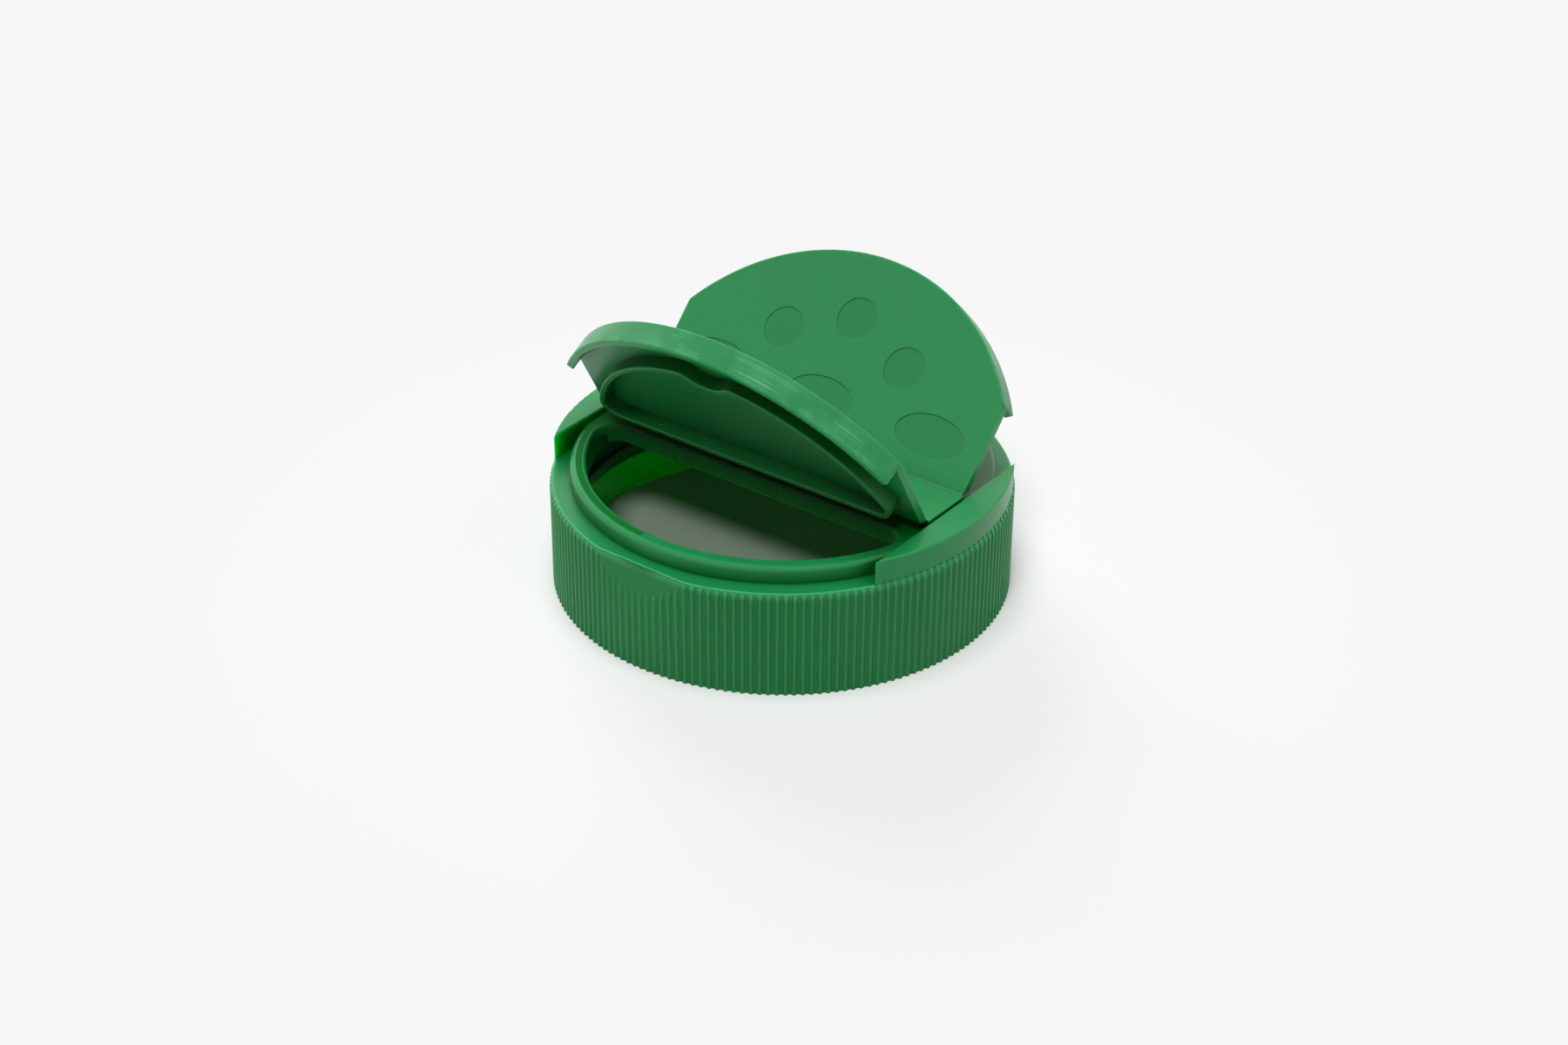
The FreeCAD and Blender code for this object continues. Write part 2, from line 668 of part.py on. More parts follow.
def hinge_web(label, side, angle):
    """The thin web between the bar and a flap, bent as far as the flap stands open."""
    body = new_body(label)
    half, thick = "sizes.web_half", "sizes.web_thickness / 2"
    lean = f"({angle} * 1 deg)"
    face = f"{side} * {BAR_HALF}"
    section = Outline(body, f"{label}_section", "YZ_Plane")
    section.polygon(
        [
            (face, "sizes.bar_height"),
            (face, "sizes.bar_height - sizes.web_thickness"),
            (
                f"{side} * (sizes.hinge_offset + {half} * cos{lean} + {thick} * sin{lean})",
                f"{PIVOT_HEIGHT} + {half} * sin{lean} - {thick} * cos{lean}",
            ),
            (
                f"{side} * (sizes.hinge_offset + {half} * cos{lean} - {thick} * sin{lean})",
                f"{PIVOT_HEIGHT} + {half} * sin{lean} + {thick} * cos{lean}",
            ),
        ]
    )
    web = raised(body, f"{label}_film", section, "sizes.web_length")
    web.Midplane = True
    document.recompute()
    return body


def check(bodies):
    """Stop if any object of the document has failed or any sub-part isn't one sound solid."""
    for thing in document.Objects:
        if {"Invalid", "Error"} & set(thing.State):
            raise RuntimeError(f"{thing.Name} has failed: {thing.State}")
    for body in bodies:
        shape = body.Shape
        if shape.isNull() or not shape.isValid() or len(shape.Solids) != 1:
            raise RuntimeError(f"{body.Label} isn't one sound solid")


def main():
    bodies = [
        cap_body(),
        pour_flap(),
        sift_flap(),
        hinge_web("pour_hinge_web", "-1", "sizes.pour_open"),
        hinge_web("sift_hinge_web", "1", "sizes.sift_open"),
    ]
    document.recompute()
    check(bodies)
    os.makedirs("parts", exist_ok=True)
    for body in bodies:
        body.Shape.exportStep(f"parts/{body.Label}.step")
        print(body.Label, round(body.Shape.Volume, 2), body.Shape.BoundBox)


main()
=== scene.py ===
"""A dual-flap shaker cap of green polypropylene, dressed over its solids for render and export.

Metres, with the origin in the middle of the open bottom rim, +Z up through the top and +X along
both hinges. The pour flap is on the -Y side and the sift flap on the +Y side.
"""

import logging
import math
from dataclasses import dataclass
from enum import Enum
from typing import Any, Callable

import bmesh
import bpy
from mathutils import Matrix, Vector
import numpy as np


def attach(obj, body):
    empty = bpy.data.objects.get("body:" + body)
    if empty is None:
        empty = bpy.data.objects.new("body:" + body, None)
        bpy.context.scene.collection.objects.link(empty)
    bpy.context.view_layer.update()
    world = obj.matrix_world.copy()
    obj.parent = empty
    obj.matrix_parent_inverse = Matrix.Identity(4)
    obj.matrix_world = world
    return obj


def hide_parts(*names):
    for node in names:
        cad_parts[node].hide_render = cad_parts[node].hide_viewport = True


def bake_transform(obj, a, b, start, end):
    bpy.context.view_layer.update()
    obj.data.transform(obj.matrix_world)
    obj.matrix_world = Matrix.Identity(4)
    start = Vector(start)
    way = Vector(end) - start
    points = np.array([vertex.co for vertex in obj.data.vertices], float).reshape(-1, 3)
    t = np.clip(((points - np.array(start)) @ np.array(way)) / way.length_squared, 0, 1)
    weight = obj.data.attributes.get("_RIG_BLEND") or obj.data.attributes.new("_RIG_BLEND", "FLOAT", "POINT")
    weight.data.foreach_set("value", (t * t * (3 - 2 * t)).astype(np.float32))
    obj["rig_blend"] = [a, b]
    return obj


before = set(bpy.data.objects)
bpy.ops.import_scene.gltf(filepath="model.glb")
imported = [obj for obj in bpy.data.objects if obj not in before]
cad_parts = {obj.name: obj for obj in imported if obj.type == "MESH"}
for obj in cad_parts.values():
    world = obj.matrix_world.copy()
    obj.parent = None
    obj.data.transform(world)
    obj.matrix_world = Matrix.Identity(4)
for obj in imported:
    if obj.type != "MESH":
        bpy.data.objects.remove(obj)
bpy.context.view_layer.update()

log = logging.getLogger("shaker_cap")

MM = 0.001
CAP = "cap"

# The hinge lines, and the flaps' angles from closed, as the solids have them
HINGE_OFFSET = 4.45 * MM
PIVOT_HEIGHT = 19.9 * MM
POUR_OPEN = 61.3
SIFT_OPEN = 45.5

# How near a corner lies to a size of the solids to count as on it
NEAR = 0.01 * MM

# How bright the plain background is, on the table and above it, where 1 is white
BACKGROUND = 0.9216

# The attributes that tell the finish what a point or a face of a moulding is part of
SWEEP = "sweep"
RUBBED = "rubbed"
PIN_MARK = "pin_mark"
GROOVE_SHADE = "groove"
PAINTED_HIGHLIGHT = "painted_highlight"
INNER = "inner"
SHELTERED = "sheltered"


class Side(Enum):
    """The two halves of the cap's top, by the sign of Y that each flap lies on."""

    POUR = -1
    SIFT = 1


def linear(colour: str) -> tuple[float, float, float, float]:
    """Turn a hex sRGB colour into the linear values that shaders take.

    Args:
        colour: six hex digits after a hash sign.

    Returns:
        Linear red, green and blue, and an alpha of 1.
    """
    toe, slope, lift, power = 0.04045, 12.92, 0.055, 2.4
    channels = [int(colour[i : i + 2], 16) / 255 for i in (1, 3, 5)]
    lit = [c / slope if c <= toe else ((c + lift) / (1 + lift)) ** power for c in channels]
    return (lit[0], lit[1], lit[2], 1.0)


def direction(azimuth: float, elevation: float) -> Vector:
    """Point from the cap towards a lamp or the camera.

    Args:
        azimuth: where it stands round the cap, in degrees from -Y towards +X.
        elevation: how high it stands, in degrees.

    Returns:
        The unit vector.
    """
    turn, rise = math.radians(azimuth), math.radians(elevation)
    level = math.cos(rise)
    return Vector((math.sin(turn) * level, -math.cos(turn) * level, math.sin(rise)))


def add_node(
    tree: bpy.types.NodeTree,
    kind: str,
    inputs: dict[str | int, Any] | None = None,
    **settings: Any,
) -> bpy.types.Node:
    """Add a node with its settings, and its inputs as values or links.

    Args:
        tree: the node tree that the node goes into.
        kind: the node's type name.
        inputs: each input by name or number, as a value or as the socket that feeds it.
        **settings: the node's own settings.

    Returns:
        The new node.
    """
    node = tree.nodes.new(kind)
    for setting, value in settings.items():
        setattr(node, setting, value)
    for key, value in (inputs or {}).items():
        if isinstance(value, bpy.types.NodeSocket):
            tree.links.new(value, node.inputs[key])
        else:
            node.inputs[key].default_value = value
    return node


def new_piece(
    name: str, mesh: bpy.types.Mesh, body: str | None, material: bpy.types.Material
) -> bpy.types.Object:
    """Make a shown object of a finished mesh.

    Args:
        name: the piece's name.
        mesh: its mesh, in the cap's frame.
        body: the CAD body that it rides on, or None if it bends between two.
        material: its only material.

    Returns:
        The object at the origin.
    """
    piece = bpy.data.objects.new(name, mesh)
    bpy.context.scene.collection.objects.link(piece)
    mesh.materials.clear()
    mesh.materials.append(material)
    if body is not None:
        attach(piece, body)
    return piece


def shade(piece: bpy.types.Object, crease: float) -> None:
    """Shade a piece smoothly, except over edges that turn more than the crease angle.

    Args:
        piece: the piece.
        crease: the angle in degrees.
    """
    piece.data.shade_smooth()
    piece.data.set_sharp_from_angle(angle=math.radians(crease))
    even = piece.modifiers.new("even_shading", "WEIGHTED_NORMAL")
    even.keep_sharp = True
    even.weight = 50


@dataclass(frozen=True)
class MouldedGreen:
    """Polypropylene homopolymer with a green masterbatch, injection-moulded.

    The eye sees a waxy, satin green that lets some light through where the wall is thin, with
    a fine eggshell texture left by the mould, hair-thin scuffs along the flaps' lips, where
    fingers and machines rub, and a few pale specks of dust. Painted shade darkens the
    recesses, the ribs and what the flaps shelter, and a painted highlight lies along the
    shoulder's edge and the ribs' ends.

    A pair of heights, reaches or levels is where a mask is 0 and where it is full.
    """

    name: str = "moulded_green_polypropylene"

    # The plastic and its faint clouds, and what lies over it
    colour: str = "#1A8548"
    cloud_colour: str = "#1D894D"
    recess_shade_colour: str = "#005E15"
    pin_colour: str = "#178146"
    groove_shade_colour: str = "#0E783A"
    painted_highlight_colour: str = "#3FB070"
    scuff_colour: str = "#60B383"
    speck_colour: str = "#B9E3C6"

    # The skin: satin, a little more polished in some clouds, and dull where a flap shelters it
    ior: float = 1.49
    shine: float = 0.30
    polish: tuple[float, float] = (0.27, 0.35)
    polish_levels: tuple[float, float] = (0.3, 0.7)
    dull: float = 0.85

    # The light within: green goes furthest, and a thin wall glows
    translucency: float = 0.75
    scatter: tuple[float, float, float] = (0.15, 1.0, 0.25)
    depth: float = 1.5 * MM
    thin_wall_depth: float = 7 * MM
    below_thread: tuple[float, float] = (6.2 * MM, 5.7 * MM)
    above_land: tuple[float, float] = (15.5 * MM, 16 * MM)

    # Painted shade in recesses, by how open they lie to what is round them; the ribs' grooves have their own
    # painted shade
    recess_reach: float = 14 * MM
    recess_levels: tuple[float, float] = (0.82, 0.4)
    recess_samples: int = 6
    no_groove: tuple[float, float] = (0.6, 0.0)

    # Painted highlight on the ribs' ends, which are paler up to the flat shoulder
    rib_end_highlight: float = 0.7
    rib_end: tuple[float, float] = (14.83 * MM, 16.03 * MM)
    under_shoulder: tuple[float, float] = (16.09 * MM, 16.04 * MM)
    on_skirt: tuple[float, float] = (32.2 * MM, 32.4 * MM)

    # The mould's grain is 0.05 mm wide and a scuff 0.02 mm, which is too fine to show in the
    # render, so both are drawn as coarse as they need to show
    grain: float = 0.22 * MM
    grain_detail: float = 2.0
    grain_height: float = 0.004 * MM
    grain_strength: float = 0.35
    scuff_length: float = 14 * MM
    scuff_width: float = 0.13 * MM
    scuff_detail: float = 1.0
    scuff_levels: tuple[float, float] = (0.61, 0.69)
    scuff_patches: tuple[float, float] = (0.44, 0.58)

    # Smudges among the scuffs, clouds in the plastic, and dust
    smudge: float = 4 * MM
    smudge_levels: tuple[float, float] = (0.42, 0.7)
    smudge_share: float = 0.26
    cloud: float = 9 * MM
    cloud_detail: float = 3.0
    speck_spacing: float = 3.4 * MM
    speck_radius: float = 0.09 * MM
    speck_core: float = 0.6

    def thin_walls(self, tree: bpy.types.NodeTree) -> bpy.types.NodeSocket:
        """Mask the walls that light comes through: below the neck thread, and above the land.

        Args:
            tree: the material's node tree.

        Returns:
            The mask, from 0 to 1.
        """
        inner = add_node(tree, "ShaderNodeAttribute", attribute_name=INNER).outputs["Fac"]
        sweep = add_node(tree, "ShaderNodeAttribute", attribute_name=SWEEP).outputs["Vector"]
        height = add_node(tree, "ShaderNodeSeparateXYZ", {"Vector": sweep}).outputs["Y"]
        below, above = (
            add_node(
                tree, "ShaderNodeMapRange", {"Value": height, "From Min": none, "From Max": full}
            ).outputs["Result"]
            for none, full in (self.below_thread, self.above_land)
        )
        clear = add_node(tree, "ShaderNodeMath", {0: below, 1: above}, operation="MAXIMUM")
        thin = {0: inner, 1: clear.outputs["Value"]}
        return add_node(tree, "ShaderNodeMath", thin, operation="MULTIPLY").outputs["Value"]

    def recesses(self, tree: bpy.types.NodeTree) -> bpy.types.NodeSocket:
        """Mask the painted shade in the recesses, but for the grooves, and in what a flap shelters.

        Args:
            tree: the material's node tree.

        Returns:
            The mask, from 0 to 1.
        """
        openness = add_node(
            tree,
            "ShaderNodeAmbientOcclusion",
            {"Distance": self.recess_reach},
            samples=self.recess_samples,
        ).outputs["AO"]
        groove = add_node(tree, "ShaderNodeAttribute", attribute_name=GROOVE_SHADE).outputs["Fac"]
        closed, plain = (
            add_node(
                tree, "ShaderNodeMapRange", {"Value": value, "From Min": none, "From Max": full}
            ).outputs["Result"]
            for value, (none, full) in (
                (openness, self.recess_levels),
                (groove, self.no_groove),
            )
        )
        recess = add_node(tree, "ShaderNodeMath", {0: closed, 1: plain}, operation="MULTIPLY")
        sheltered = add_node(tree, "ShaderNodeAttribute", attribute_name=SHELTERED).outputs["Fac"]
        either = {0: recess.outputs["Value"], 1: sheltered}
        return add_node(tree, "ShaderNodeMath", either, operation="MAXIMUM").outputs["Value"]

    def rib_ends(
        self, tree: bpy.types.NodeTree, place: bpy.types.NodeSocket
    ) -> bpy.types.NodeSocket:
        """Mask the painted highlight on the tops of the ribs, which are paler where they run out at the
        shoulder.

        Args:
            tree: the material's node tree.
            place: the point on the cap.

        Returns:
            The mask, from 0 to the ribs' share of painted highlight.
        """
        height = add_node(tree, "ShaderNodeSeparateXYZ", {"Vector": place}).outputs["Z"]
        level = {0: place, 1: (1, 1, 0)}
        across = add_node(tree, "ShaderNodeVectorMath", level, operation="MULTIPLY")
        length = {0: across.outputs["Vector"]}
        reach = add_node(tree, "ShaderNodeVectorMath", length, operation="LENGTH").outputs["Value"]
        mask: Any = self.rib_end_highlight
        for value, (none, full) in (
            (height, self.rib_end),
            (height, self.under_shoulder),
            (reach, self.on_skirt),
        ):
            part = add_node(
                tree, "ShaderNodeMapRange", {"Value": value, "From Min": none, "From Max": full}
            )
            both = {0: part.outputs["Result"], 1: mask}
            mask = add_node(tree, "ShaderNodeMath", both, operation="MULTIPLY").outputs["Value"]
        return mask

    def scuffs(self, tree: bpy.types.NodeTree) -> bpy.types.NodeSocket:
        """Mask the hair-thin lines that run along the lips, and the smudges among them.

        Args:
            tree: the material's node tree.

        Returns:
            The mask, from 0 to 1.
        """
        rubbed = add_node(tree, "ShaderNodeAttribute", attribute_name=RUBBED).outputs["Fac"]
        sweep = add_node(tree, "ShaderNodeAttribute", attribute_name=SWEEP).outputs["Vector"]
        stretch = (1 / self.scuff_length, 1 / self.scuff_width, 1 / self.scuff_length)
        drawn = add_node(tree, "ShaderNodeVectorMath", {0: sweep, 1: stretch}, operation="MULTIPLY")
        lines, smudges = (
            add_node(
                tree, "ShaderNodeTexNoise", {"Vector": way, "Scale": scale, "Detail": detail}
            ).outputs["Fac"]
            for way, scale, detail in (
                (drawn.outputs["Vector"], 1.0, self.scuff_detail),
                (sweep, 1 / self.smudge, self.cloud_detail),
            )
        )
        crisp, patchy, soft = (
            add_node(
                tree,
                "ShaderNodeMapRange",
                {"Value": value, "From Min": none, "From Max": full, "To Max": most},
            ).outputs["Result"]
            for value, (none, full), most in (
                (lines, self.scuff_levels, 1.0),
                (smudges, self.scuff_patches, 1.0),
                (smudges, self.smudge_levels, self.smudge_share),
            )
        )
        fine = add_node(tree, "ShaderNodeMath", {0: crisp, 1: patchy}, operation="MULTIPLY")
        either = {0: fine.outputs["Value"], 1: soft}
        mask = add_node(tree, "ShaderNodeMath", either, operation="MAXIMUM").outputs["Value"]
        on_lips = {0: mask, 1: rubbed}
        return add_node(tree, "ShaderNodeMath", on_lips, operation="MULTIPLY").outputs["Value"]

    def specks(
        self, tree: bpy.types.NodeTree, place: bpy.types.NodeSocket
    ) -> bpy.types.NodeSocket:
        """Mask the few pale specks of dust.

        Args:
            tree: the material's node tree.
            place: the point on the cap.

        Returns:
            The mask, from 0 to 1.
        """
        cells = {"Vector": place, "Scale": 1 / self.speck_spacing}
        edge = self.speck_radius / self.speck_spacing
        near = {
            "Value": add_node(tree, "ShaderNodeTexVoronoi", cells).outputs["Distance"],
            "From Min": edge,
            "From Max": edge * self.speck_core,
        }
        return add_node(tree, "ShaderNodeMapRange", near).outputs["Result"]

    def material(self) -> bpy.types.Material:
        """Build the material's nodes.

        Returns:
            The material.
        """
        made = bpy.data.materials.new(self.name)
        made.use_nodes = True
        tree = made.node_tree
        tree.nodes.clear()
        place = add_node(tree, "ShaderNodeTexCoord").outputs["Object"]
        cloud, grain = (
            add_node(
                tree, "ShaderNodeTexNoise", {"Vector": place, "Scale": 1 / size, "Detail": detail}
            ).outputs["Fac"]
            for size, detail in ((self.cloud, self.cloud_detail), (self.grain, self.grain_detail))
        )
        pin_mark, groove, painted_highlight, sheltered = (
            add_node(tree, "ShaderNodeAttribute", attribute_name=name).outputs["Fac"]
            for name in (PIN_MARK, GROOVE_SHADE, PAINTED_HIGHLIGHT, SHELTERED)
        )
        tone: Any = linear(self.colour)
        for over, share in (
            (self.cloud_colour, cloud),
            # Painted shade in the recesses and where the flaps shelter
            (self.recess_shade_colour, self.recesses(tree)),
            (self.pin_colour, pin_mark),
            # Painted shade on the ribs, fullest in the grooves
            (self.groove_shade_colour, groove),
            # Painted highlight along the shoulder's edge and the ribs' ends
            (self.painted_highlight_colour, painted_highlight),
            (self.painted_highlight_colour, self.rib_ends(tree, place)),
            (self.scuff_colour, self.scuffs(tree)),
            (self.speck_colour, self.specks(tree, place)),
        ):
            layers = {0: share, 6: tone, 7: linear(over)}
            tone = add_node(tree, "ShaderNodeMix", layers, data_type="RGBA").outputs[2]
        texture = {
            "Strength": self.grain_strength,
            "Distance": self.grain_height,
            "Height": grain,
        }
        polish, depth = (
            add_node(
                tree,
                "ShaderNodeMapRange",
                {"Value": value, "From Min": low, "From Max": high, "To Min": a, "To Max": b},
            ).outputs["Result"]
            for value, (low, high), (a, b) in (
                (cloud, self.polish_levels, self.polish),
                (self.thin_walls(tree), (0.0, 1.0), (self.depth, self.thin_wall_depth)),
            )
        )
        matt = add_node(tree, "ShaderNodeMath", {0: sheltered, 1: self.dull}, operation="MULTIPLY")
        rougher = {0: polish, 1: matt.outputs["Value"]}
        shader = add_node(
            tree,
            "ShaderNodeBsdfPrincipled",
            {
                "Base Color": tone,
                "Roughness": add_node(
                    tree, "ShaderNodeMath", rougher, operation="MAXIMUM"
                ).outputs["Value"],
                "IOR": self.ior,
                "Specular IOR Level": self.shine,
                "Subsurface Weight": self.translucency,
                "Subsurface Radius": self.scatter,
                "Subsurface Scale": depth,
                "Normal": add_node(tree, "ShaderNodeBump", texture).outputs["Normal"],
            },
        )
        add_node(tree, "ShaderNodeOutputMaterial", {"Surface": shader.outputs["BSDF"]})
        return made


@dataclass(frozen=True)
class Rounding:
    """A softened edge: which edges of a moulding it takes, how wide it is and how much painted highlight its
    faces get.
    """

    takes: Callable[[Vector, Vector], bool]
    width: float
    painted_highlight: float = 0.0
    segments: int = 2


@dataclass
class MouldedPart:
    """A solid of the cap, with the soft edges that a mould leaves. Its angles are in degrees."""

    node: str
    body: str
    roundings: tuple[Rounding, ...] = ()
    crease: float = 28.0
    merge: float = 0.002 * MM
    flat_turn: float = 0.05
    sharp_turn: float = 35.0

    def home(self, point: Vector) -> Vector:
        """Bring a point into the frame that the part was drawn in."""
        return point

    def is_rubbed(self, point: Vector) -> bool:
        """Does a face with its middle here lie where fingers rub?"""
        return False

    def is_pin_mark(self, point: Vector) -> bool:
        """Does a face with its middle here lie on a mark over a peg?"""
        return False

    def glow(self, point: Vector, normal: Vector) -> float:
        """How much light does a face here get through a thin wall, from 0 to 1?"""
        return 0.0

    def shelter(self, corners: list[Vector]) -> float:
        """How deep in the shade of a flap does a face with these corners lie, from 0 to 1?"""
        return 0.0

    def groove(self, point: Vector) -> float:
        """How much painted shade does a point get in the grooves of the grip, from 0 to 1?"""
        return 0.0

    def soften(self, shape: bmesh.types.BMesh) -> None:
        """Round the edges that the part's roundings take, where two faces meet sharply.

        Args:
            shape: the part's merged mesh.
        """
        least = math.radians(self.sharp_turn)
        # Each rounding's new faces get its share of painted highlight
        painted_highlight = shape.faces.layers.float.new(PAINTED_HIGHLIGHT)
        for rounding in self.roundings:
            edges = [
                edge
                for edge in shape.edges
                if len(edge.link_faces) == 2
                and edge.calc_face_angle(0.0) > least
                and rounding.takes(*(self.home(vertex.co) for vertex in edge.verts))
            ]
            made = bmesh.ops.bevel(
                shape,
                geom=edges,
                offset=rounding.width,
                offset_type="OFFSET",
                segments=rounding.segments,
                profile=0.5,
                affect="EDGES",
                clamp_overlap=False,
            )
            for face in made["faces"]:
                face[painted_highlight] = rounding.painted_highlight
            log.info("%s: %d edges softened", self.node, len(edges))

    def mark(self, mesh: bpy.types.Mesh) -> None:
        """Store what the finish reads: where each point lies round the axis, and what it is.

        Args:
            mesh: the part's mesh, with its edges softened.
        """
        mesh.attributes.new(SWEEP, "FLOAT_VECTOR", "POINT")
        mesh.attributes.new(GROOVE_SHADE, "FLOAT", "POINT")
        for name in (RUBBED, PIN_MARK, INNER, SHELTERED):
            mesh.attributes.new(name, "FLOAT", "FACE")
        # Adding an attribute moves the others, so they are looked up once all of them are there
        stored = {layer.name: layer.data for layer in mesh.attributes}
        for vertex in mesh.vertices:
            here = self.home(vertex.co)
            reach = math.hypot(here.x, here.y)
            swept = (reach * math.atan2(here.x, -here.y), here.z, reach)
            stored[SWEEP][vertex.index].vector = swept
            stored[GROOVE_SHADE][vertex.index].value = self.groove(here)
        for face in mesh.polygons:
            here = self.home(face.center)
            corners = [self.home(mesh.vertices[index].co) for index in face.vertices]
            stored[RUBBED][face.index].value = float(self.is_rubbed(here))
            stored[PIN_MARK][face.index].value = float(self.is_pin_mark(here))
            stored[INNER][face.index].value = self.glow(here, face.normal)
            stored[SHELTERED][face.index].value = self.shelter(corners)

    def build(self, finish: bpy.types.Material) -> bpy.types.Object:
        """Make the piece that stands for the CAD node.

        Args:
            finish: its material.

        Returns:
            The piece.
        """
        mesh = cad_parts[self.node].data.copy()
        # The solid's own normals don't fit the softened mesh
        normals = mesh.attributes.get("custom_normal")
        if normals is not None:
            mesh.attributes.remove(normals)
        shape = bmesh.new()
        shape.from_mesh(mesh)
        bmesh.ops.remove_doubles(shape, verts=shape.verts, dist=self.merge)
        bmesh.ops.dissolve_limit(
            shape,
            angle_limit=math.radians(self.flat_turn),
            verts=shape.verts,
            edges=shape.edges,
        )
        self.soften(shape)
        shape.to_mesh(mesh)
        shape.free()
        self.mark(mesh)
        piece = new_piece(f"{self.node}_moulding", mesh, self.body, finish)
        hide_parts(self.node)
        shade(piece, self.crease)
        return piece


@dataclass
class CapBody(MouldedPart):
    """The ribbed skirt with its deck, ears and hinge bar."""

    outside: float = 33.25 * MM
    rib_depth: float = 0.3 * MM
    rib_root: float = 32.9 * MM
    rib_length: float = 3 * MM
    rib_softness: float = 0.14 * MM
    # The ribs' crests get this share of the grooves' painted shade
    crest_shade: float = 0.6
    shoulder_height: float = 16.1 * MM
    shoulder_reach: float = 32.8 * MM
    shoulder_softness: float = 0.22 * MM
    # The shoulder's rounded edge gets this share of painted highlight
    shoulder_highlight: float = 0.4
    outer_segments: int = 3
    deck_height: float = 18.65 * MM
    deck_inside: float = 29 * MM
    hole_field: float = 5 * MM
    hole_softness: float = 0.18 * MM
    bore_inside: float = 31 * MM
    bore_facing: float = 0.5
    ear_inside: float = 28.27 * MM
    ear_skin: float = 0.1 * MM
    ear_glow: float = 1.0
    opening_side: tuple[float, float] = (-9.5 * MM, -5.5 * MM)
    side_shade: float = 0.9

    def __post_init__(self) -> None:
        """Set the edges that are softened."""
        highlight, segments = self.shoulder_highlight, self.outer_segments
        self.roundings = (
            Rounding(self.is_crest_edge, self.rib_softness, segments=segments),
            Rounding(self.is_root_edge, self.rib_softness),
            Rounding(self.is_hole_edge, self.hole_softness),
            Rounding(self.is_shoulder_edge, self.shoulder_softness, highlight, segments),
        )

    def glow(self, point: Vector, normal: Vector) -> float:
        """How much light comes through to the inside of the skirt, or of an ear?

        Args:
            point: the face's middle.
            normal: the face's normal.

        Returns:
            The share, from 0 to 1.
        """
        reach = math.hypot(point.x, point.y)
        inward = -(point.x * normal.x + point.y * normal.y) / max(reach, MM)
        if point.z > self.shoulder_height:
            at_ear = abs(abs(point.x) - self.ear_inside) < self.ear_skin
            return self.ear_glow if at_ear and inward > 0 else 0.0
        return float(inward > self.bore_facing and reach > self.bore_inside)

    def shelter(self, corners: list[Vector]) -> float:
        """How much painted shade does the straight side of the pour opening get, under the flap?

        Args:
            corners: the face's corners.

        Returns:
            The side's share of the painted shade, or 0 for any other face.
        """
        middle = sum(corners, Vector()) / len(corners)
        is_side = (
            self.opening_side[0] < middle.y < self.opening_side[1]
            and abs(middle.x) < self.ear_inside
            and middle.z > self.shoulder_height
        )
        return self.side_shade if is_side else 0.0

    def groove(self, point: Vector) -> float:
        """How much painted shade does the skirt get at a point, from a rib's crest to the full groove?

        Args:
            point: the point.

        Returns:
            The share of the grooves' painted shade, or 0 away from the ribs.
        """
        reach = math.hypot(point.x, point.y)
        if reach < self.rib_root or point.z > self.shoulder_height:
            return 0.0
        return min(max((self.outside - reach) / self.rib_depth, self.crest_shade), 1.0)

    def is_rib_edge(self, one: Vector, other: Vector) -> bool:
        """Does an edge run up the flank of a grip rib?"""
        is_long = abs(one.z - other.z) > self.rib_length
        return is_long and all(math.hypot(end.x, end.y) > self.rib_root for end in (one, other))

    def is_crest_edge(self, one: Vector, other: Vector) -> bool:
        """Does an edge run up a rib beside its crest?

        Args:
            one: the edge's one end.
            other: its other end.

        Returns:
            True if its middle is nearer to the crest than to the groove's floor.
        """
        middle = (one + other) / 2
        crest = self.outside - self.rib_depth / 2
        return self.is_rib_edge(one, other) and math.hypot(middle.x, middle.y) > crest

    def is_root_edge(self, one: Vector, other: Vector) -> bool:
        """Does an edge run up a rib beside a groove's floor?"""
        return self.is_rib_edge(one, other) and not self.is_crest_edge(one, other)

    def is_shoulder_edge(self, one: Vector, other: Vector) -> bool:
        """Does an edge run round the outside of the shoulder?

        Args:
            one: the edge's one end.
            other: its other end.

        Returns:
            True if both ends lie on the shoulder, out by the ribs.
        """
        return all(
            abs(end.z - self.shoulder_height) < NEAR
            and math.hypot(end.x, end.y) > self.shoulder_reach
            for end in (one, other)
        )

    def is_hole_edge(self, one: Vector, other: Vector) -> bool:
        """Does an edge run round the top of a shaker hole?

        Args:
            one: the edge's one end.
            other: its other end.

        Returns:
            True if both ends lie on the deck's top, among the holes.
        """
        return all(
            abs(end.z - self.deck_height) < NEAR
            and end.y > self.hole_field
            and math.hypot(end.x, end.y) < self.deck_inside
            for end in (one, other)
        )


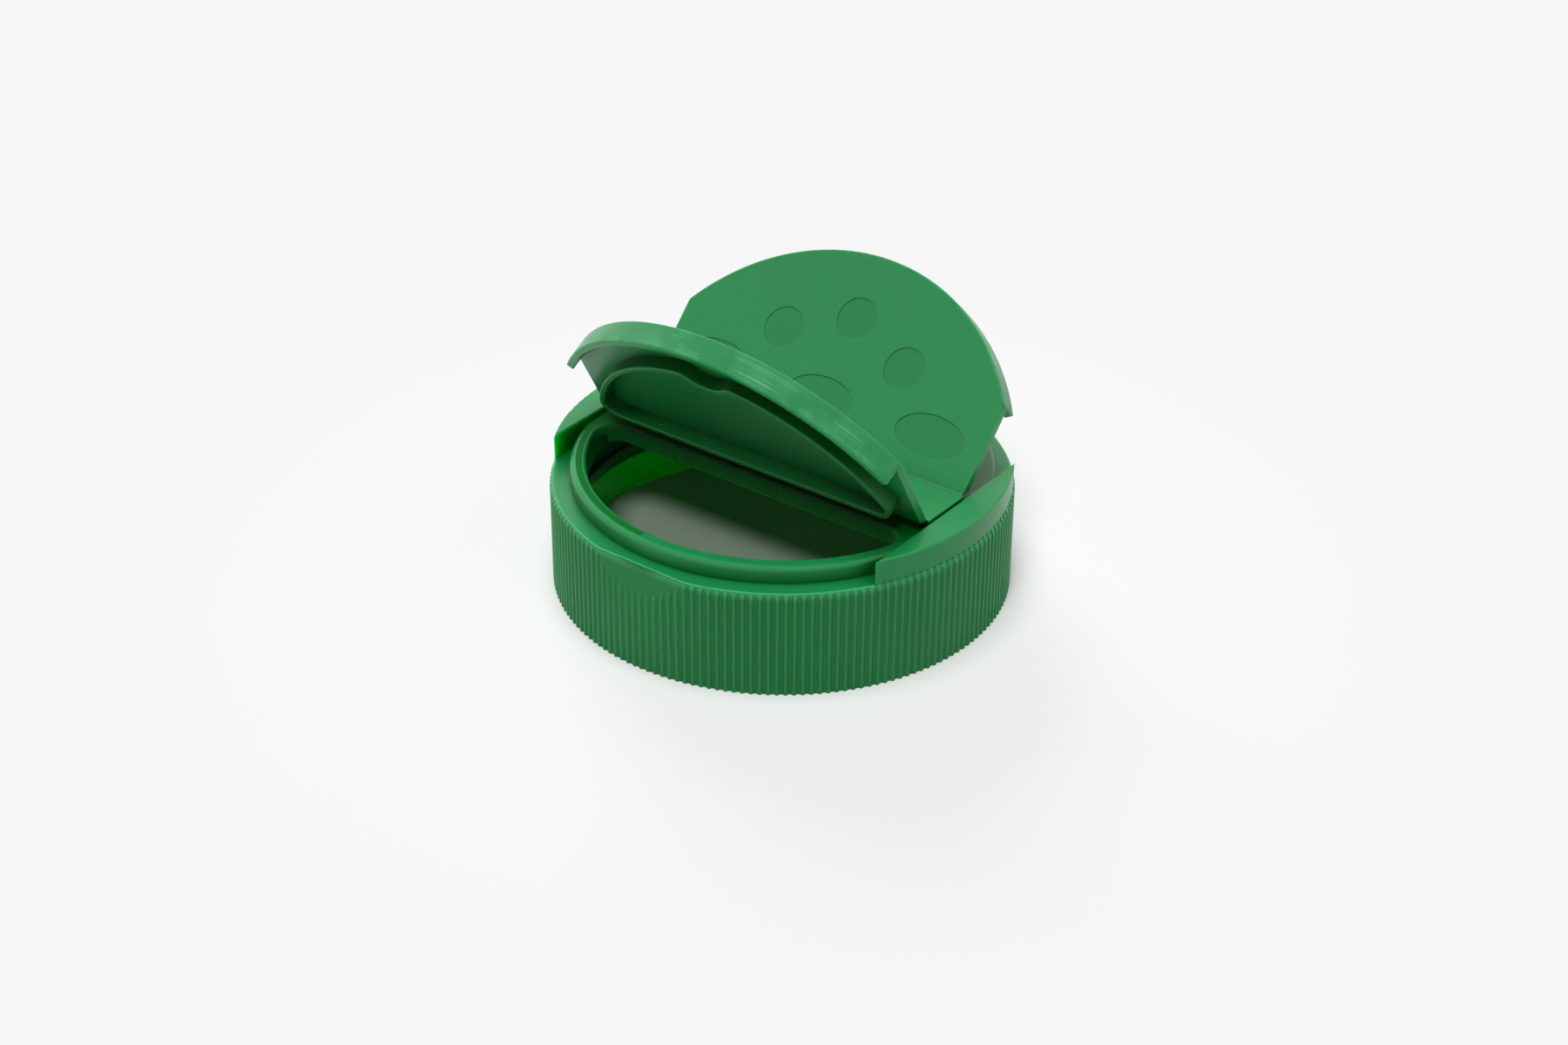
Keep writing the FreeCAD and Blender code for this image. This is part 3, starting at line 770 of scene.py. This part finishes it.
@dataclass
class Flap(MouldedPart):
    """A flap, seen as it lies on the closed cap, with its lip towards -Y."""

    side: Side = Side.POUR
    open_angle: float = POUR_OPEN
    top: float = 20.1 * MM
    underside: float = 18.9 * MM
    lip_outside: float = 33.1 * MM
    side_reach: float = 27.9 * MM
    side_softness: float = 0.12 * MM
    mark_depth: float = 0.15 * MM
    mark_floor: float = 0.03 * MM
    mark_reach: float = 31.35 * MM
    mark_across: float = 26.9 * MM
    mark_softness: float = 0.06 * MM
    plug_reach: float = 27.6 * MM
    plug_straight: float = 7.2 * MM
    plug_shade: float = 0.55

    def __post_init__(self) -> None:
        """Set the edges that are softened."""
        self.roundings = (
            Rounding(self.is_mark_edge, self.mark_softness),
            Rounding(self.is_side_edge, self.side_softness),
        )

    def home(self, point: Vector) -> Vector:
        """Bring a point back to where it lies when the flap is shut, with the lip towards -Y.

        Args:
            point: the point on the open flap.

        Returns:
            The point on the shut flap.
        """
        sign = self.side.value
        away, up = point.y * sign - HINGE_OFFSET, point.z - PIVOT_HEIGHT
        turn = math.radians(self.open_angle)
        flat = away * math.cos(turn) + up * math.sin(turn)
        rise = up * math.cos(turn) - away * math.sin(turn)
        return Vector((point.x * -sign, -(flat + HINGE_OFFSET), rise + PIVOT_HEIGHT))

    def is_mark_edge(self, one: Vector, other: Vector) -> bool:
        """Does an edge run round the top or the foot of a mark?

        Args:
            one: the edge's one end.
            other: its other end.

        Returns:
            True if both ends lie within a mark's depth of the top, away from the lip.
        """
        return all(
            math.hypot(end.x, end.y) < self.mark_reach
            and abs(end.x) < self.mark_across
            and abs(end.z - self.top + self.mark_depth / 2) < self.mark_depth
            for end in (one, other)
        )

    def is_side_edge(self, one: Vector, other: Vector) -> bool:
        """Does an edge run along one of the flap's straight sides?"""
        return all(abs(abs(end.x) - self.side_reach) < NEAR for end in (one, other))

    def is_rubbed(self, point: Vector) -> bool:
        """Is it on the outside of the lip?"""
        return math.hypot(point.x, point.y) > self.lip_outside

    def is_pin_mark(self, point: Vector) -> bool:
        """Is it on the floor of a mark?"""
        is_floor = abs(point.z - self.top + self.mark_depth) < self.mark_floor
        return is_floor and math.hypot(point.x, point.y) < self.mark_reach

    def shelter(self, corners: list[Vector]) -> float:
        """How much painted shade do the pour flap's plug ring and what it encloses get?

        Args:
            corners: the face's corners.

        Returns:
            The plug's share of the painted shade, or 0 for any other face.
        """
        is_plug = self.side is Side.POUR and all(
            corner.z < self.underside
            and corner.y < -self.plug_straight
            and math.hypot(corner.x, corner.y) < self.plug_reach
            for corner in corners
        )
        return self.plug_shade if is_plug else 0.0


@dataclass
class NeckThread:
    """The coarse right-handed thread inside the skirt, which grips the jar's neck."""

    root_radius: float = 31.7 * MM
    crest_depth: float = 1.25 * MM
    root_width: float = 2.3 * MM
    crest_width: float = 0.9 * MM
    pitch: float = 4.23 * MM
    turns: float = 1.35
    first_height: float = 5.2 * MM
    crest_rounding: float = 0.3 * MM
    rounding_steps: int = 3
    steps_per_turn: int = 160
    run_in: float = 0.09
    tip_scale: float = 0.02
    crease: float = 40.0

    def sizes(self) -> dict[str, float | int]:
        """Name the sizes that the tree takes.

        Returns:
            A value for each of its inputs. The section is drawn about the wall's face, so it is
            twice as deep as the crest stands out.
        """
        return {
            "Root Radius": self.root_radius,
            "Rise": self.pitch * self.turns,
            "Turns": self.turns,
            "First Height": self.first_height,
            "Root Width": self.root_width,
            "Crest Width": self.crest_width,
            "Crest Depth": self.crest_depth * 2,
            "Crest Rounding": self.crest_rounding,
            "Steps": round(self.steps_per_turn * self.turns),
        }

    def tree(self, finish: bpy.types.Material) -> bpy.types.NodeTree:
        """Build the tree that sweeps the ridge's section along its helix.

        Args:
            finish: the thread's material.

        Returns:
            The tree, with a named input for each of the sizes.
        """
        tree = bpy.data.node_groups.new("neck_thread", "GeometryNodeTree")
        for name, value in self.sizes().items():
            kind = "NodeSocketInt" if isinstance(value, int) else "NodeSocketFloat"
            tree.interface.new_socket(name, in_out="INPUT", socket_type=kind)
        tree.interface.new_socket("Geometry", in_out="OUTPUT", socket_type="NodeSocketGeometry")
        given = add_node(tree, "NodeGroupInput").outputs
        helix = add_node(
            tree,
            "GeometryNodeCurveSpiral",
            {
                "Resolution": given["Steps"],
                "Rotations": given["Turns"],
                "Start Radius": given["Root Radius"],
                "End Radius": given["Root Radius"],
                "Height": given["Rise"],
            },
        )
        upright = add_node(
            tree, "GeometryNodeSetCurveNormal", {"Curve": helix.outputs["Curve"]}, mode="Z_UP"
        )
        along = add_node(tree, "GeometryNodeSplineParameter").outputs["Factor"]
        fade_in, fade_out = (
            add_node(
                tree,
                "ShaderNodeMapRange",
                {"Value": along, "From Min": start, "From Max": stop, "To Min": a, "To Max": b},
                interpolation_type="SMOOTHSTEP",
            ).outputs["Result"]
            for start, stop, a, b in (
                (0.0, self.run_in, self.tip_scale, 1.0),
                (1 - self.run_in, 1.0, 1.0, self.tip_scale),
            )
        )
        full = add_node(tree, "ShaderNodeMath", {0: fade_in, 1: fade_out}, operation="MULTIPLY")
        section = add_node(
            tree,
            "GeometryNodeCurvePrimitiveQuadrilateral",
            {
                "Bottom Width": given["Root Width"],
                "Top Width": given["Crest Width"],
                "Height": given["Crest Depth"],
                "Offset": 0.0,
            },
            mode="TRAPEZOID",
        )
        rounded = add_node(
            tree,
            "GeometryNodeFilletCurve",
            {
                "Curve": section.outputs["Curve"],
                "Radius": given["Crest Rounding"],
                "Count": self.rounding_steps,
            },
            mode="POLY",
        )
        swept = add_node(
            tree,
            "GeometryNodeCurveToMesh",
            {
                "Curve": upright.outputs["Curve"],
                "Profile Curve": rounded.outputs["Curve"],
                "Scale": full.outputs["Value"],
                "Fill Caps": True,
            },
        )
        lifted = add_node(tree, "ShaderNodeCombineXYZ", {"Z": given["First Height"]})
        placed = add_node(
            tree,
            "GeometryNodeTransform",
            {"Geometry": swept.outputs["Mesh"], "Translation": lifted.outputs["Vector"]},
        )
        real = add_node(
            tree, "GeometryNodeRealizeInstances", {"Geometry": placed.outputs["Geometry"]}
        )
        dressed = add_node(
            tree,
            "GeometryNodeSetMaterial",
            {"Geometry": real.outputs["Geometry"], "Material": finish},
        )
        add_node(tree, "NodeGroupOutput", {0: dressed.outputs["Geometry"]})
        return tree

    def ridge(self, finish: bpy.types.Material) -> bpy.types.Mesh:
        """Run the tree once and keep the ridge that it makes as a plain mesh.

        Args:
            finish: the thread's material.

        Returns:
            The mesh, with every instance made real.
        """
        tree, sizes = self.tree(finish), self.sizes()
        holder = bpy.data.objects.new("neck_thread_holder", bpy.data.meshes.new("no_thread_yet"))
        bpy.context.scene.collection.objects.link(holder)
        modifier = holder.modifiers.new("grow", "NODES")
        modifier.node_group = tree
        for item in tree.interface.items_tree:
            if item.item_type == "SOCKET" and item.in_out == "INPUT":
                modifier[item.identifier] = sizes[item.name]
        depsgraph = bpy.context.evaluated_depsgraph_get()
        mesh = bpy.data.meshes.new_from_object(
            holder.evaluated_get(depsgraph), depsgraph=depsgraph
        )
        mesh.name = "neck_thread"
        holder.modifiers.remove(modifier)
        bpy.data.objects.remove(holder)
        return mesh

    def build(self, finish: bpy.types.Material) -> bpy.types.Object:
        """Make the thread and let it ride on the cap.

        Args:
            finish: its material.

        Returns:
            The piece.
        """
        piece = new_piece("neck_thread", self.ridge(finish), CAP, finish)
        shade(piece, self.crease)
        return piece


@dataclass
class HingeFilm:
    """The thin film of the moulding that bends between the hinge bar and a flap."""

    side: Side
    node: str
    body: str
    open_angle: float
    bar_half: float = 4.2 * MM
    overlap: float = 0.12 * MM
    reach: float = 0.25 * MM
    sunk: float = 0.004 * MM
    edge_thickness: float = 0.4 * MM
    film_thickness: float = 0.27 * MM
    length: float = 55.6 * MM
    steps_across: int = 14
    steps_along: int = 24
    crease: float = 50.0

    def spine(self, share: float) -> tuple[Vector, Vector]:
        """Find the middle of the film's section and its normal.

        Args:
            share: how far across the film, from 0 at the bar to 1 at the flap.

        Returns:
            The point and the unit normal as (distance from the bar's side, height) pairs.
        """
        turn = math.radians(self.open_angle)
        start = Vector((self.bar_half - self.overlap, PIVOT_HEIGHT))
        pivot = Vector((HINGE_OFFSET, PIVOT_HEIGHT))
        lean = Vector((math.cos(turn), math.sin(turn)))
        end = pivot + lean * (self.reach + self.overlap)
        near, far = (1 - share) ** 2, share**2
        point = start * near + pivot * (2 * share * (1 - share)) + end * far
        along = (pivot - start) * (1 - share) + (end - pivot) * share
        along.normalize()
        return point, Vector((-along.y, along.x))

    def section(self) -> list[Vector]:
        """Draw the film's closed section, which is thinnest in its middle.

        Returns:
            Its points: along the top, a hair under the bar's and the flap's, and back below.
        """
        top, under = [], []
        half = self.edge_thickness / 2
        for step in range(self.steps_across + 1):
            share = step / self.steps_across
            point, normal = self.spine(share)
            waist = 1 - abs(2 * share - 1) ** 2
            thick = self.edge_thickness - (self.edge_thickness - self.film_thickness) * waist
            top.append(point + normal * (half - self.sunk))
            under.append(point + normal * (half - thick))
        return top + under[::-1]

    def strip(self) -> bpy.types.Mesh:
        """Draw the section out along the hinge and close its ends.

        Returns:
            The film's mesh.
        """
        loop = self.section()
        count = len(loop)
        shape = bmesh.new()
        rows = []
        for stop in range(self.steps_along + 1):
            across = (stop / self.steps_along - 0.5) * self.length
            rows.append(
                [shape.verts.new((across, self.side.value * p.x, p.y)) for p in loop]
            )
        for here, there in zip(rows, rows[1:]):
            for i in range(count):
                j = (i + 1) % count
                shape.faces.new((here[i], here[j], there[j], there[i]))
        for row in (rows[0], rows[-1]):
            for i in range(self.steps_across):
                j = count - 1 - i
                shape.faces.new((row[i], row[i + 1], row[j - 1], row[j]))
        bmesh.ops.recalc_face_normals(shape, faces=shape.faces)
        mesh = bpy.data.meshes.new(f"{self.node}_film")
        shape.to_mesh(mesh)
        shape.free()
        mesh.shade_smooth()
        mesh.set_sharp_from_angle(angle=math.radians(self.crease))
        return mesh

    def build(self, finish: bpy.types.Material) -> bpy.types.Object:
        """Make the film, which bends between the cap and its flap.

        Args:
            finish: its material.

        Returns:
            The piece.
        """
        piece = new_piece(f"{self.node}_film", self.strip(), None, finish)
        sign, turn = self.side.value, math.radians(self.open_angle)
        start = (0, sign * self.bar_half, PIVOT_HEIGHT)
        end = (
            0,
            sign * (HINGE_OFFSET + self.reach * math.cos(turn)),
            PIVOT_HEIGHT + self.reach * math.sin(turn),
        )
        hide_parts(self.node)
        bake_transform(piece, CAP, self.body, start, end)
        return piece


@dataclass(frozen=True)
class Lamp:
    """A broad, even light from one direction, with its angles in degrees.

    It stands at an azimuth round the cap, from -Y towards +X, and at an elevation. Its spread is
    how wide it looks from the cap, and its level is how brightly white renders where the light
    meets it squarely.
    """

    name: str
    azimuth: float
    elevation: float
    spread: float
    level: float

    def hang(self) -> None:
        """Hang the lamp, which lights the cap but isn't mirrored in it, as the softbox is."""
        light = bpy.data.lights.new(self.name, "SUN")
        light.angle = math.radians(self.spread)
        light.energy = self.level * math.pi
        lamp = bpy.data.objects.new(self.name, light)
        bpy.context.scene.collection.objects.link(lamp)
        towards = direction(self.azimuth, self.elevation)
        lamp.location = towards
        lamp.rotation_euler = towards.to_track_quat("Z", "Y").to_euler()
        lamp.visible_glossy = False


@dataclass(frozen=True)
class PaleTable:
    """White laminate, matt and even.

    The eye sees a plain pale ground with the cap's soft shadow. Inside the cap, where only
    light from its walls falls, the ground is painted greyer, as painted shade, with a faint
    painted green glow.
    """

    name: str = "pale_table"
    colour: str = "#E6E6E6"
    roughness: float = 0.9
    # Painted shade inside the cap, and a faint painted green glow there, stand for the light from its walls
    inside_shade_colour: str = "#A7B6A7"
    painted_glow_colour: str = "#38A038"
    glow: float = 0.04
    under_rim: tuple[float, float] = (32 * MM, 33 * MM)

    # The background takes over from the table away from the cap's shadow
    shadow_share: float = 0.85
    shadow_reach: tuple[float, float] = (40 * MM, 110 * MM)

    def material(self) -> bpy.types.Material:
        """Build the material's nodes.

        Returns:
            The material.
        """
        made = bpy.data.materials.new(self.name)
        made.use_nodes = True
        tree = made.node_tree
        tree.nodes.clear()
        place = add_node(tree, "ShaderNodeTexCoord").outputs["Object"]
        reach = add_node(tree, "ShaderNodeVectorMath", {0: place}, operation="LENGTH")
        distance = reach.outputs["Value"]
        rim = {"Value": distance, "From Min": self.under_rim[0], "From Max": self.under_rim[1]}
        outside = add_node(tree, "ShaderNodeMapRange", rim).outputs["Result"]
        # Painted shade and a painted green glow, only inside the cap
        tones = {0: outside, 6: linear(self.inside_shade_colour), 7: linear(self.colour)}
        colour = add_node(tree, "ShaderNodeMix", tones, data_type="RGBA")
        inside = add_node(tree, "ShaderNodeMath", {0: 1.0, 1: outside}, operation="SUBTRACT")
        lit = {0: inside.outputs["Value"], 1: self.glow}
        through = add_node(tree, "ShaderNodeMath", lit, operation="MULTIPLY")
        shader = add_node(
            tree,
            "ShaderNodeBsdfPrincipled",
            {
                "Base Color": colour.outputs[2],
                "Roughness": self.roughness,
                "Specular IOR Level": 0.0,
                "Emission Color": linear(self.painted_glow_colour),
                "Emission Strength": through.outputs["Value"],
            },
        )
        glow = add_node(
            tree, "ShaderNodeEmission", {"Color": (1, 1, 1, 1), "Strength": BACKGROUND}
        )
        away = add_node(
            tree,
            "ShaderNodeMapRange",
            {
                "Value": distance,
                "From Min": self.shadow_reach[0],
                "From Max": self.shadow_reach[1],
                "To Min": 1 - self.shadow_share,
                "To Max": 1.0,
            },
            interpolation_type="SMOOTHSTEP",
        )
        share = add_node(tree, "ShaderNodeLightPath").outputs["Is Camera Ray"]
        for part in (away.outputs["Result"], outside):
            both = {0: part, 1: share}
            share = add_node(tree, "ShaderNodeMath", both, operation="MULTIPLY").outputs["Value"]
        mixed = add_node(
            tree,
            "ShaderNodeMixShader",
            {0: share, 1: shader.outputs["BSDF"], 2: glow.outputs["Emission"]},
        )
        add_node(tree, "ShaderNodeOutputMaterial", {"Surface": mixed.outputs["Shader"]})
        return made


@dataclass
class Studio:
    """A plain pale table in soft, even studio light, seen from where the photograph was taken."""

    floor_size: float = 3.0

    # The light: a faint dome, a softbox that only reflections show, and broad lamps
    dome_strength: float = 0.04
    softbox: float = 1.45
    softbox_span: tuple[float, float] = (12.0, 30.0)
    lamps: tuple[Lamp, ...] = (
        Lamp("top_light", 0, 86, 30, 0.62),
        Lamp("front_light", 20, 56, 15, 0.38),
        Lamp("back_light", -125, 18, 40, 0.60),
        Lamp("right_light", 100, 40, 50, 0.09),
    )

    # The camera, as the fit of the photograph's lines puts it, with its angles in degrees
    distance: float = 0.420
    azimuth: float = 36.66
    elevation: float = 30.81
    roll: float = 0.50
    target: tuple[float, float, float] = (-0.0018, 0.0029, 0.0056)
    focal_pixels: float = 3301.6
    image_width: int = 1800
    sensor: float = 36.0
    clip: tuple[float, float] = (0.01, 20.0)

    def build(self) -> None:
        """Make the table, the lights and the camera."""
        self.table()
        self.world()
        for lamp in self.lamps:
            lamp.hang()
        self.camera()

    def table(self) -> None:
        """Make the floor, which shows as the pale background and still takes the shadow."""
        half = self.floor_size / 2
        mesh = bpy.data.meshes.new("table")
        corners = [(-half, -half, 0), (half, -half, 0), (half, half, 0), (-half, half, 0)]
        mesh.from_pydata(corners, [], [(0, 1, 2, 3)])
        mesh.materials.append(PaleTable().material())
        floor = bpy.data.objects.new("table", mesh)
        bpy.context.scene.collection.objects.link(floor)

    def world(self) -> None:
        """Light the scene from all round, and show the pale background to the camera."""
        world = bpy.data.worlds.new("studio")
        bpy.context.scene.world = world
        world.use_nodes = True
        tree = world.node_tree
        tree.nodes.clear()
        path = add_node(tree, "ShaderNodeLightPath").outputs
        way = add_node(tree, "ShaderNodeTexCoord").outputs["Generated"]
        height = add_node(tree, "ShaderNodeSeparateXYZ", {"Vector": way}).outputs["Z"]
        foot, top = (math.sin(math.radians(angle)) for angle in self.softbox_span)
        softbox = add_node(
            tree,
            "ShaderNodeMapRange",
            {
                "Value": height,
                "From Min": foot,
                "From Max": top,
                "To Min": BACKGROUND,
                "To Max": self.softbox,
            },
            interpolation_type="SMOOTHSTEP",
        )
        seen = {0: path["Is Camera Ray"], 1: path["Is Transmission Ray"]}
        shown = add_node(tree, "ShaderNodeMath", seen, operation="MAXIMUM").outputs["Value"]
        level: Any = self.dome_strength
        for ray, its_level in (
            (path["Is Glossy Ray"], softbox.outputs["Result"]),
            (shown, BACKGROUND),
        ):
            levels = {"Value": ray, "To Min": level, "To Max": its_level}
            level = add_node(tree, "ShaderNodeMapRange", levels).outputs["Result"]
        light = add_node(
            tree, "ShaderNodeBackground", {"Color": (1, 1, 1, 1), "Strength": level}
        )
        add_node(tree, "ShaderNodeOutputWorld", {"Surface": light.outputs["Background"]})

    def camera(self) -> None:
        """Set the camera where the fit of the photograph's lines puts it."""
        back = direction(self.azimuth, self.elevation)
        turn, tilt = math.radians(self.azimuth), math.radians(self.roll)
        right = Vector((math.cos(turn), math.sin(turn), 0))
        up = back.cross(right)
        across = right * math.cos(tilt) + up * math.sin(tilt)
        upward = up * math.cos(tilt) - right * math.sin(tilt)
        lens = bpy.data.cameras.new("camera")
        lens.sensor_width = self.sensor
        lens.lens = self.focal_pixels * self.sensor / self.image_width
        lens.clip_start, lens.clip_end = self.clip
        camera = bpy.data.objects.new("camera", lens)
        bpy.context.scene.collection.objects.link(camera)
        turned = Matrix((across, upward, back)).transposed().to_4x4()
        spot = Vector(self.target) + back * self.distance
        camera.matrix_world = Matrix.Translation(spot) @ turned
        bpy.context.scene.camera = camera


def main() -> None:
    """Build the cap's pieces in order, then the studio round them."""
    logging.basicConfig(level=logging.INFO, format="%(name)s: %(message)s")
    green = MouldedGreen().material()
    for part in (
        CapBody("cap_body", CAP),
        Flap("pour_flap", "pour_lid", side=Side.POUR, open_angle=POUR_OPEN),
        Flap("sift_flap", "sift_lid", side=Side.SIFT, open_angle=SIFT_OPEN),
        NeckThread(),
        HingeFilm(Side.POUR, "pour_hinge_web", "pour_lid", POUR_OPEN),
        HingeFilm(Side.SIFT, "sift_hinge_web", "sift_lid", SIFT_OPEN),
    ):
        piece = part.build(green)
        log.info("%s has %d faces", piece.name, len(piece.data.polygons))
    Studio().build()
    bpy.context.scene.view_settings.view_transform = "Standard"


if __name__ == "__main__":
    main()
